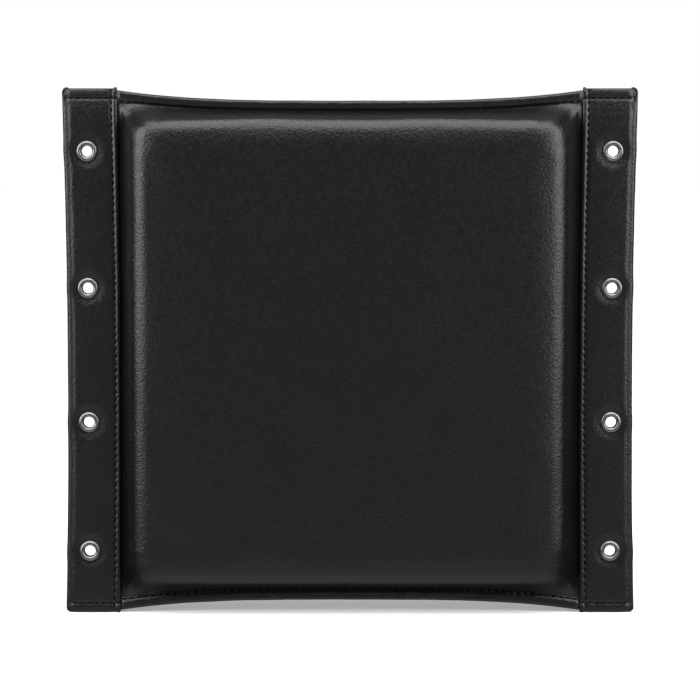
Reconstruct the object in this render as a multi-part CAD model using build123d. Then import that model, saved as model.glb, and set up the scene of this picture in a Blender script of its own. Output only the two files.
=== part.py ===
from build123d import *
import os

# A wall punch pad: two foam layers in a leather envelope, whose sides are sewn into two folded
# leather bands with eyelets for wall screws. Millimetres, +Z up. The front faces -Y and the wall
# is the plane y = 0, so a depth below is a distance in front of the wall. The origin is the
# centre of the outer four screw holes, on the wall.

# Overall size
pad_width = 342.0  # across both bands, at their ends
pad_height = 314.0  # along the bands
leather = 0.9  # one layer of the covers and the bands

# Bands
band_width = 32.8
side_sag = 2.2  # how far the pad's outer sides are drawn in at mid height
ridge_sag = 1.1  # the same for the bands' inner edges
lip_depth = 8.1  # leather turned under along the inner edge
end_turn = 8.0  # leather turned in at the band's two ends
fold_room = 1.6  # between the outer side and the strip inside
ridge_layers = 1.4  # rounding of the inner edge, in layers of leather
strip_layers = 3  # thickness of the strip inside, in layers of leather

# Envelope
edge_drop = 1.1  # the envelope's corners lie this far below the bands' ends
edge_sag = 5.8  # and its long edges a further distance below, at their middle
edge_reach = 53.0  # along which each end of a long edge bends
handle_share = 0.75  # sag at the middle, as a share of how far the curve's handles dip
flange_reach = 7.8  # how far the covers run in under the bands
hem_turn = 7.2  # leather turned along the long edges

# Foam
foam_side_gap = 7.2  # from a band's inner edge
foam_end_gap = 9.1  # from the middle of a long edge
base_foam = 8.0
face_foam = 10.0
foam_corner = 10.0
foam_round = 9.0  # rounding of the front edges
round_share = 0.95  # at most this share of the face layer or of the foam's corners

# Sewing
seam_inset = 3.8  # seam from the band's inner edge, at its ends
seam_sag = 2.0
hem_inset = 5.6  # row along the long edges, from the edge
stitch_pitch = 4.3
stitch_length = 3.2
thread_width = 0.7
thread_height = 0.35
groove_width = 1.1
groove_depth = 0.4
row_margin = 1.2  # between a row's end and the edge or row that it stops at

# Eyelets
eyelet_inset = 14.7  # from the pad's outer side, at its ends
eyelet_end_inset = 37.2  # top and bottom eyelets, from the bands' ends
inner_rows = 80.4  # between the middle two
inner_rows_drop = 1.8  # the middle two sit lower than centred
screw_hole_radius = 3.3
eyelet_wall = 0.4
eyelet_flange_radius = 6.2
eyelet_rim = 0.3
eyelet_dome = 0.5  # above the leather
eyelet_roll = 0.5  # where the flange turns down into the barrel, above its seat
eyelet_sink = 0.6  # leather pressed in under flange and washer
eyelet_lip_radius = 4.9
washer_thickness = 0.3

# Clearances
foam_clearance = 0.3
slot_clearance = 0.3
strip_clearance = 0.2
hem_clearance = 0.4
hole_clearance = 0.1
washer_clearance = 0.05
recess_clearance = 0.3
round_clearance = 0.05  # between two roundings of one side
hair_sag = 0.001  # draws a line that is all but straight

# Worked out from the sizes above
side_x = pad_width / 2
band_end = pad_height / 2
ridge_x = side_x - band_width
envelope_end = band_end - edge_drop
flange_x = ridge_x + flange_reach
lip_x = ridge_x + lip_depth
seam_x = ridge_x + seam_inset
hem_z = band_end - hem_inset
eyelet_x = side_x - eyelet_inset
outer_rows = pad_height - 2 * eyelet_end_inset
band_thickness = (strip_layers + 2) * leather
foam_width = 2 * (ridge_x - foam_side_gap)
foam_height = 2 * (envelope_end - edge_sag - foam_end_gap)
front_round = min(foam_round, round_share * min(face_foam, foam_corner))

# Depths of the layers in front of the wall
back_cover_back = leather
back_cover_front = 2 * leather
flange_front = 3 * leather
hem_front = 4 * leather
foam_back = back_cover_front
foam_joint = foam_back + base_foam
foam_front = foam_joint + face_foam

row_heights = {
    "top": outer_rows / 2,
    "upper": inner_rows / 2 - inner_rows_drop,
    "lower": -inner_rows / 2 - inner_rows_drop,
    "bottom": -outer_rows / 2,
}
sides = {"left": -1, "right": 1}
ends = {"top": 1, "bottom": -1}


def slab(face, back, front):
    """A flat piece drawn in x and z, between two depths."""
    return extrude(Plane.XZ.offset(back) * face, amount=front - back)


def on_side(piece, side):
    """The right-hand piece, or its mirror image on the left."""
    return piece if side > 0 else mirror(piece, Plane.YZ)


def front_edges(piece):
    """The edges round a piece's foremost face."""
    return piece.faces().sort_by(Axis.Y)[0].edges()


def bowed_line(x, sag):
    """A line from one end of the bands to the other, drawn in at mid height."""
    return ThreePointArc((x, -band_end), (x - sag, 0), (x, band_end))


def upright_strip(inner, outer, half_height):
    """The flat shape between two bowed lines, cut to a height."""
    start = inner @ 1
    end = outer @ 1
    shape = make_face([inner, Line(start, end), outer, Line(outer @ 0, inner @ 0)])
    return shape & Pos(side_x / 2, 0) * Rectangle(2 * side_x, 2 * half_height)


def long_edge(drop=0.0):
    """The envelope's top edge between the bands, or a line that far below it."""
    z = envelope_end - drop
    dip = z - edge_sag / handle_share
    return Bezier((-ridge_x, z), (edge_reach - ridge_x, dip), (ridge_x - edge_reach, dip), (ridge_x, z))


def cover_outline():
    """The flat shape of both covers, with the side margins that the bands hold."""
    z = envelope_end
    top = long_edge()
    bottom = mirror(top, Plane.XZ)
    right = Polyline((ridge_x, z), (flange_x, z), (flange_x, -z), (ridge_x, -z))
    left = Polyline((-ridge_x, z), (-flange_x, z), (-flange_x, -z), (-ridge_x, -z))
    return make_face([top, right, bottom, left])


def hem_outline(end):
    """The strip along a long edge where the front cover lies double."""
    upper = long_edge()
    lower = long_edge(hem_turn)
    strip = make_face([upper, Line(upper @ 1, lower @ 1), lower, Line(lower @ 0, upper @ 0)])
    strip &= Rectangle(2 * (ridge_x - hem_clearance), pad_height)
    return strip if end > 0 else mirror(strip, Plane.XZ)


def foam_outline(margin=0.0):
    """The foam's outline, or one that far outside it."""
    return RectangleRounded(foam_width + 2 * margin, foam_height + 2 * margin, foam_corner + margin)


def foam_layers():
    base = slab(foam_outline(), foam_back, foam_joint)
    face = slab(foam_outline(), foam_joint, foam_front)
    return base, fillet(front_edges(face), front_round)


def front_cover():
    outer = slab(foam_outline(foam_clearance + leather), foam_back, foam_front + leather)
    outer = fillet(front_edges(outer), front_round + leather)
    inside = slab(foam_outline(foam_clearance), foam_back, foam_front)
    inside = fillet(front_edges(inside), front_round)
    cover = slab(cover_outline(), back_cover_front, flange_front) + outer
    for end in ends.values():
        cover += slab(hem_outline(end), flange_front, hem_front)
    return cover - inside


def back_cover():
    return slab(cover_outline(), back_cover_back, back_cover_front)


def eyelet_holes(radius, back, front):
    """Round cutters through one side's four eyelet places."""
    return [slab(Pos(eyelet_x, z) * Circle(radius), back, front) for z in row_heights.values()]


def band():
    """The right-hand band: leather folded round the strip, with its inner edge turned under."""
    outline = upright_strip(bowed_line(ridge_x, ridge_sag), bowed_line(side_x, side_sag), band_end)
    piece = slab(outline, 0, band_thickness)
    arcs = piece.edges().filter_by(GeomType.CIRCLE)
    piece = fillet(arcs.sort_by(Axis.X)[-2:], band_thickness / 2 - round_clearance)
    ridge = piece.edges().filter_by(GeomType.CIRCLE).group_by(Axis.X)[0].sort_by(Axis.Y)[0]
    piece = fillet(ridge, ridge_layers * leather)
    slot = Pos(lip_x / 2, 0) * Rectangle(lip_x, 2 * (envelope_end + slot_clearance))
    piece -= slab(slot, back_cover_back, flange_front)
    pocket_side = bowed_line(side_x - fold_room, side_sag)
    pocket = upright_strip(bowed_line(lip_x, hair_sag), pocket_side, band_end - end_turn)
    piece -= slab(pocket, leather, band_thickness - leather)
    grooves = [trace(bowed_line(seam_x, seam_sag), groove_width)]
    grooves += [Pos(side_x, z) * Rectangle(2 * band_width + 1, groove_width) for z in (hem_z, -hem_z)]
    for groove in grooves:
        piece -= slab(groove, 0, groove_depth)
        piece -= slab(groove, band_thickness - groove_depth, band_thickness)
    recess = eyelet_flange_radius + recess_clearance
    barrel = screw_hole_radius + eyelet_wall + hole_clearance
    piece -= eyelet_holes(recess, 0, eyelet_sink)
    piece -= eyelet_holes(recess, band_thickness - eyelet_sink, band_thickness)
    return piece - eyelet_holes(barrel, 0, band_thickness)


def stiffener():
    """The strip inside the right-hand band that the eyelets clamp through."""
    inner = bowed_line(lip_x + strip_clearance, hair_sag)
    outer = bowed_line(side_x - fold_room - strip_clearance, side_sag)
    shape = upright_strip(inner, outer, band_end - end_turn - strip_clearance)
    piece = slab(shape, leather, band_thickness - leather)
    barrel = screw_hole_radius + eyelet_wall + hole_clearance
    return piece - eyelet_holes(barrel, 0, band_thickness)


def turned(profile, x, z):
    """A ring turned from a half section drawn in radius and depth, at a place on the wall."""
    ring = revolve(Plane.XZ * profile, Axis.Z)
    return Plane.XZ * Pos(x, z, 0) * ring


def eyelet(x, z):
    hole = screw_hole_radius
    barrel = hole + eyelet_wall
    seat = band_thickness - eyelet_sink
    rim = seat + eyelet_rim
    crest = band_thickness + eyelet_dome
    inner_lip = seat + eyelet_roll
    middle = (hole + eyelet_flange_radius) / 2
    body = Polyline(
        (hole, inner_lip),
        (hole, 0),
        (eyelet_lip_radius, 0),
        (eyelet_lip_radius, washer_thickness),
        (barrel, washer_thickness),
        (barrel, seat),
        (eyelet_flange_radius, seat),
        (eyelet_flange_radius, rim),
    )
    dome = ThreePointArc((eyelet_flange_radius, rim), (middle, crest), (hole, inner_lip))
    return turned(make_face([body, dome]), x, z)


def washer(x, z):
    inner = screw_hole_radius + eyelet_wall + washer_clearance
    width = eyelet_flange_radius - inner
    back = washer_thickness
    front = eyelet_sink
    section = Pos((inner + eyelet_flange_radius) / 2, (back + front) / 2) * Rectangle(width, front - back)
    return turned(section, x, z)


def stitch_row(path, back):
    """Visible stitches of a sewn row, evenly spaced along a path, lying from a depth forward."""
    shape = SlotOverall(stitch_length, thread_width)
    gaps = max(1, round((path.length - stitch_length) / stitch_pitch))
    first = stitch_length / 2 / path.length
    row = []
    for index in range(gaps + 1):
        along = first + (1 - 2 * first) * index / gaps
        place = path @ along
        slant = path.tangent_angle_at(along)
        row.append(slab(Pos(place.X, place.Y) * Rot(0, 0, slant) * shape, back, back + thread_height))
    return row


def seam_rows(back):
    """The right-hand seam: a long row between the two hem rows and one stitch beyond each."""
    line = bowed_line(seam_x, seam_sag)
    reach = (hem_z - row_margin) / (2 * band_end)
    rows = stitch_row(line.trim(0.5 - reach, 0.5 + reach), back)
    beyond = band_end - row_margin - stitch_length / 2
    for z in (beyond, -beyond):
        stitch = Pos(seam_x, z) * Rot(0, 0, 90) * SlotOverall(stitch_length, thread_width)
        rows.append(slab(stitch, back, back + thread_height))
    return rows


def hem_rows(end, band_depth, cover_depth):
    """The row along a long edge, across both bands and the envelope between them."""
    rows = []
    for side in sides.values():
        outer = side * (side_x - band_thickness / 2 - row_margin)
        inner = side * (ridge_x + row_margin)
        rows += stitch_row(Line((inner, end * hem_z), (outer, end * hem_z)), band_depth)
    margin = (row_margin + hem_clearance) / (2 * ridge_x)
    middle = long_edge(hem_inset).trim(margin, 1 - margin)
    if end < 0:
        middle = mirror(middle, Plane.XZ).edge()
    return rows + stitch_row(middle, cover_depth)


parts = {"front_cover": front_cover(), "back_cover": back_cover()}
parts["foam_base_layer"], parts["foam_face_layer"] = foam_layers()

needle_depth = band_thickness - groove_depth
bobbin_depth = groove_depth - thread_height
one_band = band()
one_stiffener = stiffener()
seams = {"needle": Compound(seam_rows(needle_depth)), "bobbin": Compound(seam_rows(bobbin_depth))}
for name, side in sides.items():
    parts[f"{name}_band"] = on_side(one_band, side)
    parts[f"{name}_stiffener"] = on_side(one_stiffener, side)
    for thread, rows in seams.items():
        parts[f"{name}_seam_{thread}_thread"] = on_side(rows, side)
    for height, z in row_heights.items():
        parts[f"eyelet_{name}_{height}"] = eyelet(side * eyelet_x, z)
        parts[f"washer_{name}_{height}"] = washer(side * eyelet_x, z)

for name, end in ends.items():
    needle = hem_rows(end, needle_depth, hem_front)
    bobbin = hem_rows(end, bobbin_depth, back_cover_back - thread_height)
    parts[f"{name}_hem_needle_thread"] = Compound(needle)
    parts[f"{name}_hem_bobbin_thread"] = Compound(bobbin)

os.makedirs("parts", exist_ok=True)
for name, piece in parts.items():
    export_step(piece, f"parts/{name}.step")
    print(name, "written")
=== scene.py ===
import math

import bmesh
import bpy
from mathutils import Matrix, Vector, noise


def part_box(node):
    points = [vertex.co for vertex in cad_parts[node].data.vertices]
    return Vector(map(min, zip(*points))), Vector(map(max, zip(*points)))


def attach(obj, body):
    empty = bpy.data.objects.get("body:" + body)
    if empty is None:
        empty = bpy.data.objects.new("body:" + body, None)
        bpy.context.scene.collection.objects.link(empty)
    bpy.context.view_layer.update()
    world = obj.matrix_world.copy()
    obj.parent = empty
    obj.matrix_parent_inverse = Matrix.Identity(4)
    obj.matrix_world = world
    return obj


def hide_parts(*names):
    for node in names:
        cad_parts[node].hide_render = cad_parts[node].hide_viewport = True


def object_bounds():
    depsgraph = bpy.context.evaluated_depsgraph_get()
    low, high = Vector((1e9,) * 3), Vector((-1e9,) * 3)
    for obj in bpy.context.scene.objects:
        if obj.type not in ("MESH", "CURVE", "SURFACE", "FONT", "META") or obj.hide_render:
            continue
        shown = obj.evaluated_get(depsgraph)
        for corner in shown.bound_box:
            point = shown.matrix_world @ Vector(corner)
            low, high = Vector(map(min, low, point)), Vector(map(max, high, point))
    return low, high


# A wall punch pad in black faux leather. Lengths are metres, and mm turns millimetres into them.
# The pad faces -Y, the wall is y = 0, and a depth is a distance in front of the wall.

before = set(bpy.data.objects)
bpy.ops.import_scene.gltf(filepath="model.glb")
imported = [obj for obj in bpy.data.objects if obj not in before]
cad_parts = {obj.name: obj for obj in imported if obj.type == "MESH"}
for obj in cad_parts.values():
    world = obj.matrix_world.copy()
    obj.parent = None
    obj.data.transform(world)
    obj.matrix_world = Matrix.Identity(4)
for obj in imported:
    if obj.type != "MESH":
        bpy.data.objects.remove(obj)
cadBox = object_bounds()
mm = 0.001
sides = {"left": -1, "right": 1}
ends = {"top": 1, "bottom": -1}
rows = ("top", "upper", "lower", "bottom")
print("frame loaded,", len(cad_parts), "nodes")

bandLow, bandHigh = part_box("right_band")
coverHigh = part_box("front_cover")[1]
foamLow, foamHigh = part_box("foam_face_layer")
backLow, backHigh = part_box("back_cover")

outline = {
    "side": bandHigh.x,  # outer side, at the bands' ends
    "sideSag": 2.2 * mm,
    "end": bandHigh.z,
    "cornerRound": 2.6 * mm,
    "eyeletSwell": 0.3 * mm,  # the side stands out a little beside each eyelet
    "ridge": bandLow.x + 1.1 * mm,  # a band's inner edge, at its ends
    "ridgeSag": 1.1 * mm,
    "seamInset": 3.8 * mm,
    "seamSag": 2.0 * mm,
    "edge": coverHigh.z,  # the envelope's corners
    "edgeSag": 6.2 * mm,
    "edgePower": 3.3,
    "hemInset": 6.4 * mm,
    "pitch": 4.3 * mm,
}


def middle(node):
    low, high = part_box(node)
    return (low + high) / 2


eyelets = {(side, row): middle(f"eyelet_{side}_{row}") for side in sides for row in rows}
eyeletHeights = [eyelets["right", row].z for row in rows]
eyeletX = eyelets["right", "top"].x


def drawnIn(z):  # 0 at the bands' ends, 1 at mid height
    return 1 - (z / outline["end"]) ** 2


def ridgeX(z):
    return outline["ridge"] - outline["ridgeSag"] * drawnIn(z)


def seamX(z):
    return outline["ridge"] + outline["seamInset"] - outline["seamSag"] * drawnIn(z)


def sideX(z):
    x = outline["side"] - outline["sideSag"] * drawnIn(z)
    for height in eyeletHeights:
        x += outline["eyeletSwell"] * math.exp(-(((z - height) / (6 * mm)) ** 2))
    over = abs(z) - (outline["end"] - outline["cornerRound"])
    if over > 0:
        x -= outline["cornerRound"] - math.sqrt(max(0, outline["cornerRound"] ** 2 - over**2))
    return x


def edgeZ(x):
    share = min(1, abs(x) / outline["ridge"])
    return outline["edge"] - outline["edgeSag"] * (1 - share ** outline["edgePower"])


def hemZ(x):
    return edgeZ(x) - outline["hemInset"]


def blendIn(low, high, value):
    share = min(1, max(0, (value - low) / (high - low)))
    return share * share * (3 - 2 * share)


def bell(value, width):
    return math.exp(-((value / width) ** 2))


def wander(x, z, size, seed):  # soft noise from -1 to 1
    return noise.noise(Vector((x / size, seed, z / size)))


# Materials


def newMaterial(name, color, roughness, metallic=0.0):
    material = bpy.data.materials.new(name)
    material.use_nodes = True
    shader = material.node_tree.nodes["Principled BSDF"]
    shader.inputs["Base Color"].default_value = (*color, 1)
    shader.inputs["Roughness"].default_value = roughness
    shader.inputs["Metallic"].default_value = metallic
    return material, material.node_tree, shader


def addNode(tree, kind, **values):
    node = tree.nodes.new(kind)
    for name, value in values.items():
        if name in node.inputs:
            node.inputs[name].default_value = value
        else:
            setattr(node, name, value)
    return node


def objectNoise(tree, scale, detail=3.0, kind="ShaderNodeTexNoise"):
    place = addNode(tree, "ShaderNodeTexCoord")
    texture = addNode(tree, kind, Scale=scale)
    if "Detail" in texture.inputs:
        texture.inputs["Detail"].default_value = detail
    tree.links.new(place.outputs["Object"], texture.inputs["Vector"])
    return texture


def mapRange(tree, source, low, high, toLow, toHigh):
    scaled = addNode(tree, "ShaderNodeMapRange")
    for name, value in {"From Min": low, "From Max": high, "To Min": toLow, "To Max": toHigh}.items():
        scaled.inputs[name].default_value = value
    tree.links.new(source, scaled.inputs["Value"])
    return scaled.outputs["Result"]


def bumpOn(tree, height, strength, distance, under=None):
    bump = addNode(tree, "ShaderNodeBump", Strength=strength, Distance=distance)
    tree.links.new(height, bump.inputs["Height"])
    if under:
        tree.links.new(under, bump.inputs["Normal"])
    return bump.outputs["Normal"]


def tinted(tree, shader, source, dark, light):
    ramp = addNode(tree, "ShaderNodeValToRGB")
    ramp.color_ramp.elements[0].color = (*dark, 1)
    ramp.color_ramp.elements[1].color = (*light, 1)
    tree.links.new(source, ramp.inputs["Fac"])
    tree.links.new(ramp.outputs["Color"], shader.inputs["Base Color"])


leatherLook = {
    "dark": (0.0016, 0.0016, 0.0018),
    "light": (0.004, 0.004, 0.0042),
    "roughLow": 0.28,
    "roughHigh": 0.37,
    "specular": 0.55,
    "grainScale": 900,  # cells to the metre
    "grainBump": 0.42,
    "creaseScale": 520,
    "creaseBump": 0.28,
    "cloudScale": 34,
}


def blackLeather():
    material, tree, shader = newMaterial("blackLeather", leatherLook["dark"], 0.45)
    shader.inputs["Specular IOR Level"].default_value = leatherLook["specular"]
    cloud = objectNoise(tree, leatherLook["cloudScale"], 5)
    tinted(tree, shader, cloud.outputs["Fac"], leatherLook["dark"], leatherLook["light"])
    grain = objectNoise(tree, leatherLook["grainScale"], kind="ShaderNodeTexVoronoi")
    grain.feature = "SMOOTH_F1"
    crease = objectNoise(tree, leatherLook["creaseScale"], 6)
    low, high = leatherLook["roughLow"], leatherLook["roughHigh"]
    rough = mapRange(tree, crease.outputs["Fac"], 0.3, 0.7, low, high)
    tree.links.new(rough, shader.inputs["Roughness"])
    fine = bumpOn(tree, grain.outputs["Distance"], leatherLook["grainBump"], 0.25 * mm)
    soft = bumpOn(tree, crease.outputs["Fac"], leatherLook["creaseBump"], 0.6 * mm, fine)
    tree.links.new(soft, shader.inputs["Normal"])
    return material


def nickelPlate():
    material, tree, shader = newMaterial("nickelPlate", (0.62, 0.6, 0.57), 0.2, 1.0)
    wear = objectNoise(tree, 900, 5)
    rough = mapRange(tree, wear.outputs["Fac"], 0.3, 0.7, 0.28, 0.4)
    tree.links.new(rough, shader.inputs["Roughness"])
    tinted(tree, shader, wear.outputs["Fac"], (0.17, 0.167, 0.158), (0.3, 0.293, 0.28))
    tree.links.new(bumpOn(tree, wear.outputs["Fac"], 0.12, 0.1 * mm), shader.inputs["Normal"])
    return material


def sewingThread():
    material, tree, shader = newMaterial("sewingThread", (0.004, 0.004, 0.0044), 0.7)
    shader.inputs["Specular IOR Level"].default_value = 0.06
    twist = objectNoise(tree, 2600, 2)
    tinted(tree, shader, twist.outputs["Fac"], (0.001, 0.001, 0.0011), (0.004, 0.004, 0.0044))
    tree.links.new(bumpOn(tree, twist.outputs["Fac"], 0.5, 0.15 * mm), shader.inputs["Normal"])
    return material


def foamMaterial(name, dark, light, cells):
    material, tree, shader = newMaterial(name, light, 0.9)
    pores = objectNoise(tree, cells, kind="ShaderNodeTexVoronoi")
    tinted(tree, shader, pores.outputs["Distance"], dark, light)
    tree.links.new(bumpOn(tree, pores.outputs["Distance"], 0.6, 0.5 * mm), shader.inputs["Normal"])
    return material


def wovenStrip():
    material, tree, shader = newMaterial("wovenStrip", (0.02, 0.02, 0.022), 0.8)
    place = addNode(tree, "ShaderNodeTexCoord")
    weave = addNode(tree, "ShaderNodeTexWave", Scale=180.0, Distortion=0.6)
    tree.links.new(place.outputs["Object"], weave.inputs["Vector"])
    tinted(tree, shader, weave.outputs["Fac"], (0.01, 0.01, 0.011), (0.035, 0.035, 0.038))
    tree.links.new(bumpOn(tree, weave.outputs["Fac"], 0.6, 0.4 * mm), shader.inputs["Normal"])
    return material


leather = blackLeather()
nickel = nickelPlate()
thread = sewingThread()
print("materials made")


def finished(name, mesh, material, node, turnOut=True):
    if turnOut:
        bmesh.ops.recalc_face_normals(mesh, faces=mesh.faces)
    data = bpy.data.meshes.new(name)
    mesh.to_mesh(data)
    mesh.free()
    data.materials.append(material)
    data.shade_smooth()
    piece = bpy.data.objects.new(name, data)
    bpy.context.scene.collection.objects.link(piece)
    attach(piece, "root")
    if node:
        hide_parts(node)
    return piece


def foldedGrid(columns, lines):
    # an open grid numbered from 0: x counts the columns across the cloth and y the lines along it
    mesh = bmesh.new()
    bmesh.ops.create_grid(mesh, x_segments=columns, y_segments=lines, size=0.5)
    bmesh.ops.translate(mesh, vec=(0.5, 0.5, 0), verts=mesh.verts)
    bmesh.ops.scale(mesh, vec=(columns, lines, 1), verts=mesh.verts)
    return mesh


def turnedFront(mesh):  # faces point out of the fold
    mesh.normal_update()
    foremost = min(mesh.faces, key=lambda face: face.calc_center_median().y)
    if foremost.normal.y > 0:
        bmesh.ops.reverse_faces(mesh, faces=mesh.faces)


def thicken(piece, thickness):
    wall = piece.modifiers.new("thickness", "SOLIDIFY")
    wall.thickness = thickness
    wall.offset = -1


# Bands, each one strip of leather folded round the side, its inner edge and its ends turned in

band = {
    "thickness": -bandLow.y,
    "leather": 0.84 * mm,
    "columns": {"lip": 4, "ridge": 6, "front": 42, "side": 8, "back": 20},
    "lipLength": 7.0 * mm,
    "lipDepth": 2.7 * mm,
    "lipInset": 0.3,  # share of the end's turn that the lip follows
    "lipRelief": 0.45,  # and of the front's relief
    "backEdge": 0.5 * mm,  # the back stops this far from the inner edge
    "linesToStitch": 6,
    "endLines": 9,
    "endRound": 0.9 * mm,
    "endTurn": 2.4 * mm,
    "valley": 0.65 * mm,  # pressed in by the stitches
    "valleyWidth": 1.0 * mm,
    "endPillow": 0.25 * mm,  # between an end row and the end
    "endSlope": {1: 0.7 * mm, -1: 0.25 * mm},  # thinner there, at the top and the bottom
    "rowValley": 0.45 * mm,
    "endRise": {1: 1.3 * mm, -1: 0.2 * mm},  # from an end row up to the flat
    "endRiseRun": 8 * mm,
    "endRisePower": 1.4,
    "bead": 0.4 * mm,  # the padded inner edge
    "beadInset": 1.7 * mm,
    "beadWidth": 1.2 * mm,
    "gather": 0.3,  # share of the valley that comes and goes with the stitches
    "rowInset": 5.8 * mm,  # the end rows, from the bands' ends
    "rowStop": 2.6 * mm,  # and they stop this far from the outer side
    "rowFade": 1.5 * mm,
    "edgeRoll": 0.6 * mm,
    "edgeRollWidth": 3.2 * mm,
    "pillow": 0.35 * mm,
    "eyeletSink": 0.62 * mm,
    "eyeletFlat": 5.6 * mm,
    "eyeletSlope": 12.0 * mm,
    "wave": 0.22 * mm,
    "waveSize": 21 * mm,
    "hole": 4.9 * mm,
    "backValley": 0.35 * mm,
    "backSink": 0.6 * mm,
    "backFlat": 6.4 * mm,
    "backSlope": 7.2 * mm,
    "sideWave": 0.12 * mm,
    "sideWaveSize": 26 * mm,
    "seed": 3.7,
}


def stitchWave(along):
    return 1 - band["gather"] * (0.5 + 0.5 * math.cos(2 * math.pi * along / outline["pitch"]))


def bandFront(x, z):  # how far the front stands off its flat
    seam = x - seamX(z)
    fromSide = sideX(z) - x
    out = band["pillow"] * math.sin(math.pi * min(1, max(0, seam / (seam + max(0, fromSide) + 1e-9))))
    out -= band["valley"] * bell(seam, band["valleyWidth"]) * stitchWave(z)
    row = abs(z) - (outline["end"] - band["rowInset"])
    reach = blendIn(band["rowStop"] - band["rowFade"], band["rowStop"], fromSide)
    out -= band["rowValley"] * bell(row, band["valleyWidth"]) * stitchWave(x) * reach
    end = 1 if z > 0 else -1
    out -= band["endSlope"][end] * min(1, max(0, row / band["rowInset"]))
    out -= band["endRise"][end] * math.exp(-((max(0, -row) / band["endRiseRun"]) ** band["endRisePower"]))
    out += band["bead"] * bell(x - ridgeX(z) - band["beadInset"], band["beadWidth"])
    out += band["endPillow"] * reach * math.sin(math.pi * min(1, max(0, row / band["rowInset"])))
    out -= band["edgeRoll"] * (1 - blendIn(0, band["edgeRollWidth"], fromSide - band["thickness"] / 2))
    for height in eyeletHeights:
        away = math.hypot(x - eyeletX, z - height)
        sunk = 1 - blendIn(band["eyeletFlat"], band["eyeletSlope"], away)
        out = out * (1 - sunk) - band["eyeletSink"] * sunk
    return out


def bandBack(x, z):  # the same at the wall, where it lies flat
    out = band["backValley"] * bell(x - seamX(z), band["valleyWidth"]) * stitchWave(z)
    row = abs(z) - (outline["end"] - band["rowInset"])
    out += band["backValley"] * bell(row, band["valleyWidth"]) * stitchWave(x)
    for height in eyeletHeights:
        away = math.hypot(x - eyeletX, z - height)
        out += band["backSink"] * (1 - blendIn(band["backFlat"], band["backSlope"], away))
    return out


def bandSection(column, inner, outer, inset):
    # x, depth, and how far the point follows the front's and the back's relief
    counts = band["columns"]
    turn = (band["thickness"] - band["lipDepth"]) / 2
    half = band["thickness"] / 2
    if column <= counts["lip"]:
        share = 1 - column / counts["lip"]
        depth = band["lipDepth"] + band["lipInset"] * inset
        return inner + turn + share * band["lipLength"], depth, band["lipRelief"], 0
    column -= counts["lip"]
    if column <= counts["ridge"]:
        angle = math.pi * (column / counts["ridge"] - 0.5)
        front = (1 + math.sin(angle)) / 2
        radius = turn - inset * (band["lipInset"] + (1 - band["lipInset"]) * front)
        x = inner + turn - radius * math.cos(angle)
        relief = band["lipRelief"] + (1 - band["lipRelief"]) * front
        return x, band["lipDepth"] + turn + radius * math.sin(angle), relief, 0
    column -= counts["ridge"]
    if column <= counts["front"]:
        share = column / counts["front"]
        return inner + turn + share * (outer - inner - turn - half), band["thickness"] - inset, 1, 0
    column -= counts["front"]
    if column <= counts["side"]:
        angle = math.pi * (0.5 - column / counts["side"])
        x = outer - half + (half - inset) * math.cos(angle)
        return x, half + (half - inset) * math.sin(angle), max(0, math.sin(angle)), max(0, -math.sin(angle))
    share = (column - counts["side"]) / counts["back"]
    return outer - half - share * (outer - half - inner - band["backEdge"]), inset, 0, 1


def endLine(line, lines):  # height, and how far the leather is turned in there
    middle = lines / 2
    beyond = abs(line - middle) - (middle - band["endLines"])
    straight = outline["end"] - band["endRound"]
    if beyond <= 0:
        return straight * (line - middle) / (middle - band["endLines"]), 0
    bend = min(1, beyond / (band["endLines"] - 2)) * math.pi
    z = straight + band["endRound"] * math.sin(bend)
    z -= band["endTurn"] * max(0, beyond - (band["endLines"] - 2)) / 2
    return math.copysign(z, line - middle), band["endRound"] * (1 - math.cos(bend))


def makeBand(sideName):
    side = sides[sideName]
    columns = sum(band["columns"].values())
    lines = 2 * round(outline["end"] / outline["pitch"] * band["linesToStitch"]) + 2 * band["endLines"]
    mesh = foldedGrid(columns, lines)
    for vert in mesh.verts:
        z, inset = endLine(vert.co.y, lines)
        x, depth, front, back = bandSection(vert.co.x, ridgeX(z), sideX(z), inset)
        if front:
            wave = band["wave"] * wander(x, z, band["waveSize"], band["seed"] * side)
            depth += (bandFront(x, z) + wave) * front
        if back:
            depth += bandBack(x, z) * back
        x += band["sideWave"] * wander(0, z, band["sideWaveSize"], band["seed"] * side + 9)
        vert.co = (side * x, -depth, z)
    holed = []
    for face in mesh.faces:
        spot = face.calc_center_median()
        away = min(math.hypot(abs(spot.x) - eyeletX, spot.z - height) for height in eyeletHeights)
        if away < band["hole"]:
            holed.append(face)
    bmesh.ops.delete(mesh, geom=holed, context="FACES")
    turnedFront(mesh)
    node = f"{sideName}_band"
    piece = finished(f"{node}_leather", mesh, leather, node, turnOut=False)
    thicken(piece, band["leather"])


for sideName in sides:
    makeBand(sideName)
print("bands made")

# Hems, where the long edges of the covers are folded and sewn

hem = {
    "leather": 0.8 * mm,
    "columns": {"back": 6, "edge": 10, "front": 12},
    "lines": 400,
    "depth": 2.3 * mm,  # middle of the folded edge
    "half": 1.75 * mm,
    "backHalf": 1.3 * mm,
    "tuck": 1.6 * mm,  # how far it runs in under the bands
    "width": 7.4 * mm,
    "valley": {1: 1.45 * mm, -1: 0.85 * mm},  # at the top and the bottom row
    "valleyWidth": 1.2 * mm,
    "pucker": 0.22 * mm,
    "puckerSize": 5.5 * mm,
    "puckerRun": 3 * mm,  # from the fold, until it is full
    "flatten": 0.55,  # thinner at the bands, by this share
    "edgeWave": 0.15 * mm,
    "edgeWaveSize": 19 * mm,
}


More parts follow.
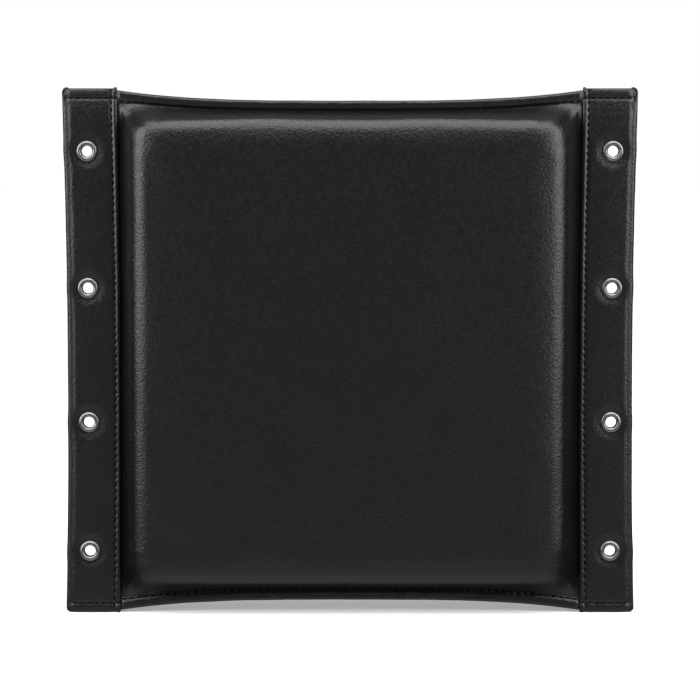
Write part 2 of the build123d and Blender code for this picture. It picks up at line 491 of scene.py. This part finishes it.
def hemFront(x, fromEdge, end):  # from the fold's middle to its front
    wave = stitchWave(x)
    row = fromEdge - outline["hemInset"]
    pucker = hem["pucker"] * wander(x, fromEdge, hem["puckerSize"], 1.3 * end)
    pucker *= blendIn(0, hem["puckerRun"], fromEdge)
    front = hem["half"] + pucker - hem["valley"][end] * bell(row, hem["valleyWidth"]) * wave
    if row > 0:
        front = min(front, hem["half"] - hem["valley"][end] * (0.6 + 0.2 * wave))
    return front


def hemSection(column, x, end):  # distance from the edge, and depth
    counts = hem["columns"]
    half, backHalf = hem["half"], hem["backHalf"]
    if column <= counts["back"]:
        return half + (1 - column / counts["back"]) * (hem["width"] - half), -backHalf
    column -= counts["back"]
    if column <= counts["edge"]:
        angle = math.pi * (column / counts["edge"] - 0.5)
        front = hemFront(x, half * (1 - math.cos(angle)), end)
        return half * (1 - math.cos(angle)), (front if angle > 0 else backHalf) * math.sin(angle)
    fromEdge = half + (column - counts["edge"]) / counts["front"] * (hem["width"] - half)
    return fromEdge, hemFront(x, fromEdge, end)


def makeHem(endName):
    end = ends[endName]
    mesh = foldedGrid(sum(hem["columns"].values()), hem["lines"])
    for vert in mesh.verts:
        reach = outline["ridge"] + hem["tuck"]
        x = reach * (2 * vert.co.y / hem["lines"] - 1)
        fromEdge, depth = hemSection(vert.co.x, x, end)
        near = 1 - blendIn(-2.2 * mm, 0.2 * mm, abs(x) - outline["ridge"])  # 1 away from the bands
        depth *= 1 - hem["flatten"] * (1 - near)
        z = edgeZ(x) - fromEdge + hem["edgeWave"] * wander(x, 0, hem["edgeWaveSize"], 5.0 * end)
        vert.co = (x, -hem["depth"] - depth, end * z)
    turnedFront(mesh)
    piece = finished(f"{endName}_hem_leather", mesh, leather, None, turnOut=False)
    thicken(piece, hem["leather"])


for endName in ends:
    makeHem(endName)
print("hems made")

# Front cover, drawn over the foam

cover = {
    "columns": 100,
    "lines": 106,
    "tuck": 2.0 * mm,  # under the bands
    "hemTuck": 0.9 * mm,
    "flange": 2.5 * mm,  # depth where it is sewn
    "clear": 1.6 * mm,  # its outside, off the foam
    "sideRound": 9 * mm,  # the foam's edges, as the cover draws them in
    "endRound": 6.5 * mm,
    "foamCorner": 10 * mm,
    "hip": 4.0 * mm,  # softness of the hips between the walls
    "hipDrop": 0.25,
    "hipFade": 0.75,  # it fades out from this share of the height
    "sideStart": 0.9 * mm,  # flat beside the bands before it rises
    "sideShift": {-1: 1.1 * mm, 1: 2.2 * mm},  # the rolls lie this much further in than the flat foam's
    "endShift": {1: 1.5 * mm, -1: 3.0 * mm},
    "shoulder": 2.0 * mm,  # the face goes on rising past the roll
    "shoulderRun": 11 * mm,
    "shoulderPower": 1.6,
    "endShoulder": 0.4,  # share of it past the end rolls
    "endRun": 8 * mm,
    "cornerReach": 20 * mm,
    "cornerCalm": 10,  # rounds the hips where they meet the face
    "startLift": 0.3 * mm,
    "steepest": 82,  # degrees
    "shrink": 0.03,
    "frames": 16,
    "maxMove": 2.2 * mm,
    "calm": 24,  # smoothing of what the cloth moved
    "crown": 0.7 * mm,
    "cloud": 0.16 * mm,
    "cloudSize": 38 * mm,
    "thickness": 0.9 * mm,
}
foamFront = -foamLow.y


def foamReach(along, length, reach):  # how far the foam reaches out beside a place along its side
    over = max(0, abs(along) - length + cover["foamCorner"])
    if over >= cover["foamCorner"]:
        return reach - cover["foamCorner"]
    return reach - cover["foamCorner"] + math.sqrt(cover["foamCorner"] ** 2 - over**2)


def stretchedRise(gap, inside, edgeRound):  # from the seam straight to the foam's rounded edge and over it
    radius = edgeRound + cover["clear"] + cover["startLift"]
    centre = max(radius * 0.8, gap + edgeRound)
    centreRise = foamFront - edgeRound - cover["flange"]
    slope = math.atan2(centreRise, centre) + math.asin(min(1, radius / math.hypot(centre, centreRise)))
    slope = min(slope, math.radians(cover["steepest"]))
    touch = centre - radius * math.sin(slope)
    if inside < touch:
        return inside * math.tan(slope)
    if inside < centre:
        return centreRise + math.sqrt(radius**2 - (centre - inside) ** 2)
    return centreRise + radius


def startDepth(x, z):
    start = ridgeX(z) - cover["sideStart"]
    sideGap = start + cover["sideShift"][1 if x > 0 else -1] - foamReach(z, foamHigh.z, foamHigh.x)
    side = stretchedRise(sideGap, start - abs(x), cover["sideRound"])
    endGap = hemZ(x) + cover["endShift"][1 if z > 0 else -1] - foamReach(x, foamHigh.x, foamHigh.z)
    end = stretchedRise(endGap, hemZ(x) - abs(z), cover["endRound"])
    lower = min(side, end)
    near = max(0, cover["hip"] - abs(side - end)) / cover["hip"]
    top = foamFront + cover["clear"] + cover["startLift"] - cover["flange"]
    drop = cover["hipDrop"] * cover["hip"] * near**2
    lower -= drop * (1 - blendIn(cover["hipFade"], 1, lower / top))
    return cover["flange"] + max(0, lower)


def easedGrid(share):  # closer lines towards the edges
    return share * (1.25 - 0.25 * share * share)


def coverSheet():
    mesh = bmesh.new()
    bmesh.ops.create_grid(mesh, x_segments=cover["columns"], y_segments=cover["lines"], size=1)
    for vert in mesh.verts:
        u, v = easedGrid(vert.co.x), easedGrid(vert.co.y)
        x = u * (ridgeX(v * outline["edge"]) + cover["tuck"])
        z = v * (hemZ(x) + cover["hemTuck"])
        vert.co = (x, -startDepth(x, z), z)
    corners = [
        vert
        for vert in mesh.verts
        if abs(vert.co.x) > foamHigh.x - cover["cornerReach"]
        and abs(vert.co.z) > foamHigh.z - cover["cornerReach"]
        and -vert.co.y > cover["flange"] + 0.8 * mm
    ]
    for _ in range(cover["cornerCalm"]):
        bmesh.ops.smooth_vert(mesh, verts=corners, factor=0.5, use_axis_y=True)
    data = bpy.data.meshes.new("front_cover_sheet")
    mesh.to_mesh(data)
    mesh.free()
    sheet = bpy.data.objects.new("front_cover_sheet", data)
    bpy.context.scene.collection.objects.link(sheet)
    return sheet


foam = {
    "side": 130.1 * mm,  # squeezed in a little by the cover
    "end": 138.9 * mm,
    "shift": (-0.5 * mm, 0, 0.6 * mm),  # it sits a little off the middle
    "corner": 15 * mm,
    "round": 10 * mm,
    "back": 1.8 * mm,
    "split": 9.8 * mm,  # between the firm and the soft layer
}


def foamBlock(low, high):
    mesh = bmesh.new()
    bmesh.ops.create_cube(mesh, size=1)
    size = (2 * foam["side"], 2 * foamFront, 2 * foam["end"])
    bmesh.ops.scale(mesh, vec=size, verts=mesh.verts)
    upright = [e for e in mesh.edges if abs(e.verts[0].co.y - e.verts[1].co.y) > foamFront]
    rounding = {"segments": 8, "affect": "EDGES", "profile": 0.5, "material": -1}
    bmesh.ops.bevel(mesh, geom=upright, offset=foam["corner"], **rounding)
    front = [e for e in mesh.edges if all(v.co.y < -0.99 * foamFront for v in e.verts)]
    bmesh.ops.bevel(mesh, geom=front, offset=foam["round"], **rounding)
    for depth, outward in ((low, 1), (high, -1)):
        if depth < foamFront:
            everything = mesh.verts[:] + mesh.edges[:] + mesh.faces[:]
            cut = bmesh.ops.bisect_plane(
                mesh, geom=everything, plane_co=(0, -depth, 0), plane_no=(0, outward, 0), clear_outer=True
            )
            rim = [part for part in cut["geom_cut"] if isinstance(part, bmesh.types.BMEdge)]
            bmesh.ops.edgeloop_fill(mesh, edges=rim)
    bmesh.ops.translate(mesh, vec=foam["shift"], verts=mesh.verts)
    bmesh.ops.recalc_face_normals(mesh, faces=mesh.faces)
    return mesh


def foamFormer():
    mesh = foamBlock(0, foamFront)
    data = bpy.data.meshes.new("foam_former")
    mesh.to_mesh(data)
    mesh.free()
    former = bpy.data.objects.new("foam_former", data)
    bpy.context.scene.collection.objects.link(former)
    former.modifiers.new("touch", "COLLISION")
    former.collision.thickness_outer = 0.5 * mm
    former.collision.cloth_friction = 2
    return former


def drawTight(sheet):  # the cover shrinks onto the foam, and its move is calmed before it is used
    scene = bpy.context.scene
    former = foamFormer()
    held = sheet.vertex_groups.new(name="held")
    edge = [
        v.index
        for v in sheet.data.vertices
        if abs(v.co.x) > ridgeX(v.co.z) - 0.3 * mm or abs(v.co.z) > hemZ(v.co.x) - 0.2 * mm
    ]
    held.add(edge, 1.0, "REPLACE")
    cloth = sheet.modifiers.new("drawTight", "CLOTH")
    settings = cloth.settings
    settings.vertex_group_mass = "held"
    settings.quality = 7
    settings.mass = 0.4
    settings.tension_stiffness = 60
    settings.compression_stiffness = 60
    settings.shear_stiffness = 30
    settings.bending_stiffness = 6
    settings.air_damping = 6
    settings.shrink_min = cover["shrink"]
    settings.shrink_max = cover["shrink"]
    settings.effector_weights.gravity = 0
    cloth.collision_settings.distance_min = 0.5 * mm
    cloth.collision_settings.collision_quality = 4
    cloth.point_cache.frame_start = 1
    cloth.point_cache.frame_end = cover["frames"]
    for step in range(1, cover["frames"] + 1):
        scene.frame_set(step)
    drawn = bpy.data.meshes.new_from_object(sheet.evaluated_get(bpy.context.evaluated_depsgraph_get()))
    sheet.modifiers.clear()
    sheet.vertex_groups.clear()
    moves = bmesh.new()
    moves.from_mesh(drawn)
    moves.verts.ensure_lookup_table()
    for vert, start in zip(moves.verts, sheet.data.vertices):
        move = vert.co - start.co
        vert.co = move * min(1, cover["maxMove"] / max(move.length, 1e-9))
    inner = [v for v in moves.verts if not v.is_boundary]
    for _ in range(cover["calm"]):
        bmesh.ops.smooth_vert(
            moves, verts=inner, factor=0.5, use_axis_x=True, use_axis_y=True, use_axis_z=True
        )
    for vert, start in zip(moves.verts, sheet.data.vertices):
        start.co += vert.co
    farthest = max(v.co.length for v in moves.verts)
    print("cover drawn tight,", len(edge), "points held, largest move", farthest)
    moves.free()
    bpy.data.objects.remove(former)
    scene.frame_set(1)


crease = {
    "ridge": [(136.6, 149.2), (132.8, 139.8), (129.3, 133.2), (128.4, 122)],
    "groove": [(134.2, 148.6), (131.0, 141.7), (125.6, 136.8), (118.5, 134.6)],
    "ridgeHeight": 0.8 * mm,
    "grooveDepth": 0.7 * mm,
    "ridgeWidth": 1.4 * mm,
    "grooveWidth": 1.8 * mm,
    "bottom": 0.55,  # share of it at the lower corners
    "from": (108 * mm, 112 * mm),  # nothing nearer the middle
}


def alongPath(path, spot):  # distance from a path, and the share of it passed there
    best = (1.0, 0.0)
    for number, (start, finish) in enumerate(zip(path, path[1:])):
        start, finish = Vector(start) * mm, Vector(finish) * mm
        run = finish - start
        share = min(1, max(0, (spot - start).dot(run) / run.length_squared))
        best = min(best, ((start + run * share - spot).length, (number + share) / (len(path) - 1)))
    return best


def cornerCrease(x, z):  # the hip that runs from each sewn corner over the foam's, and the fold beside it
    spot = Vector((abs(x), abs(z)))
    if spot.x < crease["from"][0] or spot.y < crease["from"][1]:
        return 0
    fold = 0
    for name, height, width in (
        ("ridge", crease["ridgeHeight"], crease["ridgeWidth"]),
        ("groove", -crease["grooveDepth"], crease["grooveWidth"]),
    ):
        away, share = alongPath(crease[name], spot)
        fold += height * bell(away, width) * blendIn(0, 0.5, share) * (1 - blendIn(0.6, 1, share))
    return fold * (1 if z > 0 else crease["bottom"])


def fallOff(inside, run):  # 1 at a roll, towards 0 as the face goes inwards
    return math.exp(-((max(0, inside) / run) ** cover["shoulderPower"]))


def makeCover():
    sheet = coverSheet()
    drawTight(sheet)
    sheet.modifiers.new("smooth", "SUBSURF").levels = 1
    finer = bpy.data.meshes.new_from_object(sheet.evaluated_get(bpy.context.evaluated_depsgraph_get()))
    mesh = bmesh.new()
    mesh.from_mesh(finer)
    bpy.data.objects.remove(sheet)
    for vert in mesh.verts:
        x, z = vert.co.x, vert.co.z
        lift = blendIn(foamFront - 6 * mm, foamFront, -vert.co.y)
        dome = max(0, 1 - (x / foamHigh.x) ** 2) * max(0, 1 - (z / foamHigh.z) ** 2)
        inside = foamHigh.x - cover["sideShift"][1 if x > 0 else -1] - 0.6 * cover["sideRound"] - abs(x)
        shoulder = cover["shoulder"] * (1 - fallOff(inside, cover["shoulderRun"]))
        inside = foamHigh.z - cover["endShift"][1 if z > 0 else -1] - 0.6 * cover["endRound"] - abs(z)
        shoulder *= 1 - cover["endShoulder"] * fallOff(inside, cover["endRun"])
        cloud = cover["cloud"] * wander(x, z, cover["cloudSize"], 2.2)
        out = lift * (shoulder + cover["crown"] * dome + cloud)
        vert.co.y -= out + cornerCrease(x, z)
    turnedFront(mesh)
    piece = finished("front_cover_leather", mesh, leather, "front_cover", turnOut=False)
    thicken(piece, cover["thickness"])


makeCover()
print("front cover made")


def makeFoam(node, look, low, high):
    piece = finished(f"{node}_block", foamBlock(low, high), look, node)
    piece.data.shade_flat()


softFoam = foamMaterial("softFoam", (0.32, 0.32, 0.3), (0.55, 0.55, 0.52), 900)
firmFoam = foamMaterial("firmFoam", (0.04, 0.04, 0.045), (0.09, 0.09, 0.1), 1500)
makeFoam("foam_face_layer", softFoam, foam["split"], foamFront)
makeFoam("foam_base_layer", firmFoam, foam["back"], foam["split"])
print("foam made")

# Back cover

back = {
    "columns": 60,
    "lines": 64,
    "tuck": 2.4 * mm,
    "hemTuck": 0.5 * mm,
    "lift": 0.15 * mm,
    "wave": 0.12 * mm,
    "waveSize": 44 * mm,
}


def makeBack():
    mesh = bmesh.new()
    bmesh.ops.create_grid(mesh, x_segments=back["columns"], y_segments=back["lines"], size=1)
    for vert in mesh.verts:
        u, v = vert.co.x, vert.co.y
        x = u * (ridgeX(v * outline["edge"]) + back["tuck"])
        z = v * (hemZ(x) + back["hemTuck"])
        vert.co = (x, backHigh.y - back["lift"] + back["wave"] * wander(x, z, back["waveSize"], 8.1), z)
    turnedFront(mesh)
    bmesh.ops.reverse_faces(mesh, faces=mesh.faces)
    piece = finished("back_cover_leather", mesh, leather, "back_cover", turnOut=False)
    thicken(piece, backHigh.y - backLow.y)


makeBack()
print("back cover made")

# Sewing

stitch = {
    "length": 2.8 * mm,
    "width": 1.0 * mm,
    "proud": 0.2 * mm,
    "backOfBand": 0.32 * mm,  # depth of the lower thread
    "backOfHem": 1.35 * mm,
    "end": 1.9 * mm,  # the last stitch, from the band's end
    "endSunk": 0.4 * mm,
    "endLength": {1: 2.6 * mm, -1: 2.2 * mm},
    "rings": 6,
    "around": 8,
}


def addStitch(mesh, x, depth, z, slant, length=None, lean=0.0):
    size = (length or stitch["length"], stitch["width"], stitch["width"])
    turn = Matrix.Rotation(-slant, 4, "Y") @ Matrix.Rotation(lean, 4, "Z")
    place = Matrix.Translation((x, -depth, z)) @ turn @ Matrix.Diagonal((*size, 1))
    place = place @ Matrix.Rotation(math.pi / 2, 4, "Y")
    bmesh.ops.create_uvsphere(
        mesh, u_segments=stitch["around"], v_segments=stitch["rings"], radius=0.5, matrix=place
    )


def rowPlaces(reach):
    count = int(reach / outline["pitch"] - 0.5)
    return [(n + 0.5) * outline["pitch"] for n in range(-count - 1, count + 1)]


def makeSeam(sideName, front):
    side = sides[sideName]
    mesh = bmesh.new()
    depth = stitch["backOfBand"]
    for z in rowPlaces(outline["end"] - 2 * mm):
        if front:
            depth = band["thickness"] + bandFront(seamX(z), z) + stitch["proud"]
        slope = math.atan(2 * outline["seamSag"] * z / outline["end"] ** 2)
        x = side * seamX(z)
        jitter = 0.05 * noise.noise(Vector((z * 700, side, 0.5)))
        addStitch(mesh, x, depth, z, math.pi / 2 - side * (slope - 0.07) + jitter)
    if front:
        for end, length in stitch["endLength"].items():
            z = end * (outline["end"] - stitch["end"])
            addStitch(mesh, side * seamX(z), depth - stitch["endSunk"], z, math.pi / 2, length)
    kind = "needle" if front else "bobbin"
    node = f"{sideName}_seam_{kind}_thread"
    finished(f"{node}_stitches", mesh, thread, node, turnOut=False)


def makeHemRow(endName, front):
    end = ends[endName]
    mesh = bmesh.new()
    for x in rowPlaces(outline["side"] - 2 * mm):
        onBand = abs(x) > outline["ridge"]
        if onBand:
            z = outline["end"] - band["rowInset"]
            slope = 0
            depth = band["thickness"] + bandFront(abs(x), end * z) + stitch["proud"]
            if not front:
                depth = stitch["backOfBand"]
            if abs(x) > outline["side"] - band["rowStop"]:
                continue
        else:
            z = hemZ(x)
            slope = math.atan((hemZ(x + 1 * mm) - hemZ(x - 1 * mm)) / (2 * mm))
            depth = hem["depth"] + hemFront(x, outline["hemInset"], end) + stitch["proud"]
            if not front:
                depth = stitch["backOfHem"]
        addStitch(mesh, x, depth, end * z, end * slope + 0.06)
    kind = "needle" if front else "bobbin"
    node = f"{endName}_hem_{kind}_thread"
    finished(f"{node}_stitches", mesh, thread, node, turnOut=False)


for front in (True, False):
    for sideName in sides:
        makeSeam(sideName, front)
    for endName in ends:
        makeHemRow(endName, front)
print("sewing made")

# Eyelets, turned from half sections of radius and depth

eyeletForm = {
    "steps": 64,
    "section": [
        (3.3, 0.1), (3.3, 2.2), (3.32, 3.6), (3.42, 4.1), (3.66, 4.5), (4.02, 4.82), (4.5, 4.98), (5.0, 4.97),
        (5.5, 4.8), (5.9, 4.52), (6.14, 4.2), (6.2, 3.98), (6.1, 3.9), (5.0, 3.9), (3.74, 3.9), (3.7, 2.2),
        (3.7, 0.42), (3.9, 0.31), (4.6, 0.31), (4.84, 0.24), (4.9, 0.14), (4.8, 0.05), (4.4, 0.0), (3.7, 0.0),
        (3.45, 0.02),
    ],
}


def makeEyelet(sideName, row):
    centre = eyelets[sideName, row]
    mesh = bmesh.new()
    ring = [mesh.verts.new((centre.x + r * mm, -d * mm, centre.z)) for r, d in eyeletForm["section"]]
    loop = [mesh.edges.new((a, b)) for a, b in zip(ring, ring[1:] + ring[:1])]
    bmesh.ops.spin(
        mesh,
        geom=ring + loop,
        cent=centre,
        axis=(0, 1, 0),
        dvec=(0, 0, 0),
        angle=2 * math.pi,
        steps=eyeletForm["steps"],
        use_merge=True,
    )
    bmesh.ops.remove_doubles(mesh, verts=mesh.verts, dist=0.001 * mm)
    node = f"eyelet_{sideName}_{row}"
    finished(f"{node}_nickel", mesh, nickel, node)


for sideName, row in eyelets:
    makeEyelet(sideName, row)
print("eyelets made")

# CAD nodes that stay

strip = wovenStrip()
for name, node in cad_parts.items():
    material = strip if "stiffener" in name else nickel if "washer" in name else None
    if material:
        node.data.materials.clear()
        node.data.materials.append(material)

# Floor, light and camera

studio = {
    "floorSize": 30.0,
    "floorLift": 0.17,  # keeps the floor white as far as it goes
    "worldStrength": 0.09,
    "worldShine": 0.05,  # the room as the pad reflects it
    "glows": [  # where a soft light comes from, the cosines where it starts and is full, and its strength
        ((0, -0.5, -0.866), 0.44, 0.99, 0.68),
        ((0, 0.5, 0.866), 0.45, 0.95, 0.2),
    ],
    "sunStrength": 3.2,
    "sunAngle": 60,
    "sunTilt": 27,  # degrees from straight down, towards the front
}

lamps = {
    "leftSide": {"at": (-1.08, -0.67, 0.46), "size": (0.7, 1.2), "watts": 14},
    "rightSide": {"at": (1.0, -0.75, 0.46), "size": (0.7, 1.2), "watts": 12.5},
}


def makeFloor():
    mesh = bmesh.new()
    bmesh.ops.create_grid(mesh, x_segments=2, y_segments=2, size=studio["floorSize"] / 2)
    bmesh.ops.translate(mesh, vec=(0, 0, cadBox[0].z - 0.2 * mm), verts=mesh.verts)
    data = bpy.data.meshes.new("floor")
    mesh.to_mesh(data)
    mesh.free()
    material, tree, shader = newMaterial("paleFloor", (0.96, 0.96, 0.96), 0.7)
    shader.inputs["Emission Color"].default_value = (1, 1, 1, 1)
    shader.inputs["Emission Strength"].default_value = studio["floorLift"]
    data.materials.append(material)
    floor = bpy.data.objects.new("floor", data)
    bpy.context.scene.collection.objects.link(floor)
    floor.visible_glossy = False
    floor.visible_diffuse = False


def makeWorld():
    world = bpy.data.worlds.new("studio")
    bpy.context.scene.world = world
    world.use_nodes = True
    tree = world.node_tree
    dim = tree.nodes["Background"]
    dim.inputs["Color"].default_value = (1, 1, 1, 1)
    white = addNode(tree, "ShaderNodeBackground", Strength=1.0)
    white.inputs["Color"].default_value = (1, 1, 1, 1)
    seen = addNode(tree, "ShaderNodeLightPath")
    mix = addNode(tree, "ShaderNodeMixShader")
    tree.links.new(seen.outputs["Is Camera Ray"], mix.inputs["Fac"])
    glossy = seen.outputs["Is Glossy Ray"]
    shine = mapRange(tree, glossy, 0, 1, studio["worldStrength"], studio["worldShine"])
    place = addNode(tree, "ShaderNodeTexCoord")
    total = shine
    for source, start, full, strength in studio["glows"]:
        towards = addNode(tree, "ShaderNodeVectorMath", operation="DOT_PRODUCT")
        tree.links.new(place.outputs["Generated"], towards.inputs[0])
        towards.inputs[1].default_value = source
        both = addNode(tree, "ShaderNodeMath", operation="ADD")
        tree.links.new(total, both.inputs[0])
        tree.links.new(mapRange(tree, towards.outputs["Value"], start, full, 0, strength), both.inputs[1])
        total = both.outputs["Value"]
    tree.links.new(total, dim.inputs["Strength"])
    tree.links.new(dim.outputs["Background"], mix.inputs[1])
    tree.links.new(white.outputs["Background"], mix.inputs[2])
    tree.links.new(mix.outputs["Shader"], tree.nodes["World Output"].inputs["Surface"])


def makeLamps():
    sun = bpy.data.objects.new("sun", bpy.data.lights.new("sun", "SUN"))
    sun.data.energy = studio["sunStrength"]
    sun.data.angle = math.radians(studio["sunAngle"])
    sun.rotation_euler = (math.radians(studio["sunTilt"]), 0, 0)
    bpy.context.scene.collection.objects.link(sun)
    for name, facts in lamps.items():
        light = bpy.data.lights.new(name, "AREA")
        light.shape = "RECTANGLE"
        light.size, light.size_y = facts["size"]
        light.energy = facts["watts"]
        lamp = bpy.data.objects.new(name, light)
        lamp.location = facts["at"]
        lamp.rotation_euler = (-Vector(facts["at"])).to_track_quat("-Z", "Y").to_euler()
        lamp.visible_camera = False
        bpy.context.scene.collection.objects.link(lamp)


shot = {"distance": 1.5, "elevation": 4.6, "aim": (0, 0, 1.1 * mm), "lens": 128.8, "sensor": 36}


def makeCamera():
    data = bpy.data.cameras.new("camera")
    data.lens = shot["lens"]
    data.sensor_width = shot["sensor"]
    camera = bpy.data.objects.new("camera", data)
    tilt = math.radians(shot["elevation"])
    away = Vector((0, -math.cos(tilt), math.sin(tilt)))
    camera.location = Vector(shot["aim"]) + away * shot["distance"]
    camera.rotation_euler = (-away).to_track_quat("-Z", "Y").to_euler()
    bpy.context.scene.collection.objects.link(camera)
    bpy.context.scene.camera = camera


makeFloor()
makeWorld()
makeLamps()
makeCamera()
bpy.context.scene.view_settings.view_transform = "Standard"
print("studio made")
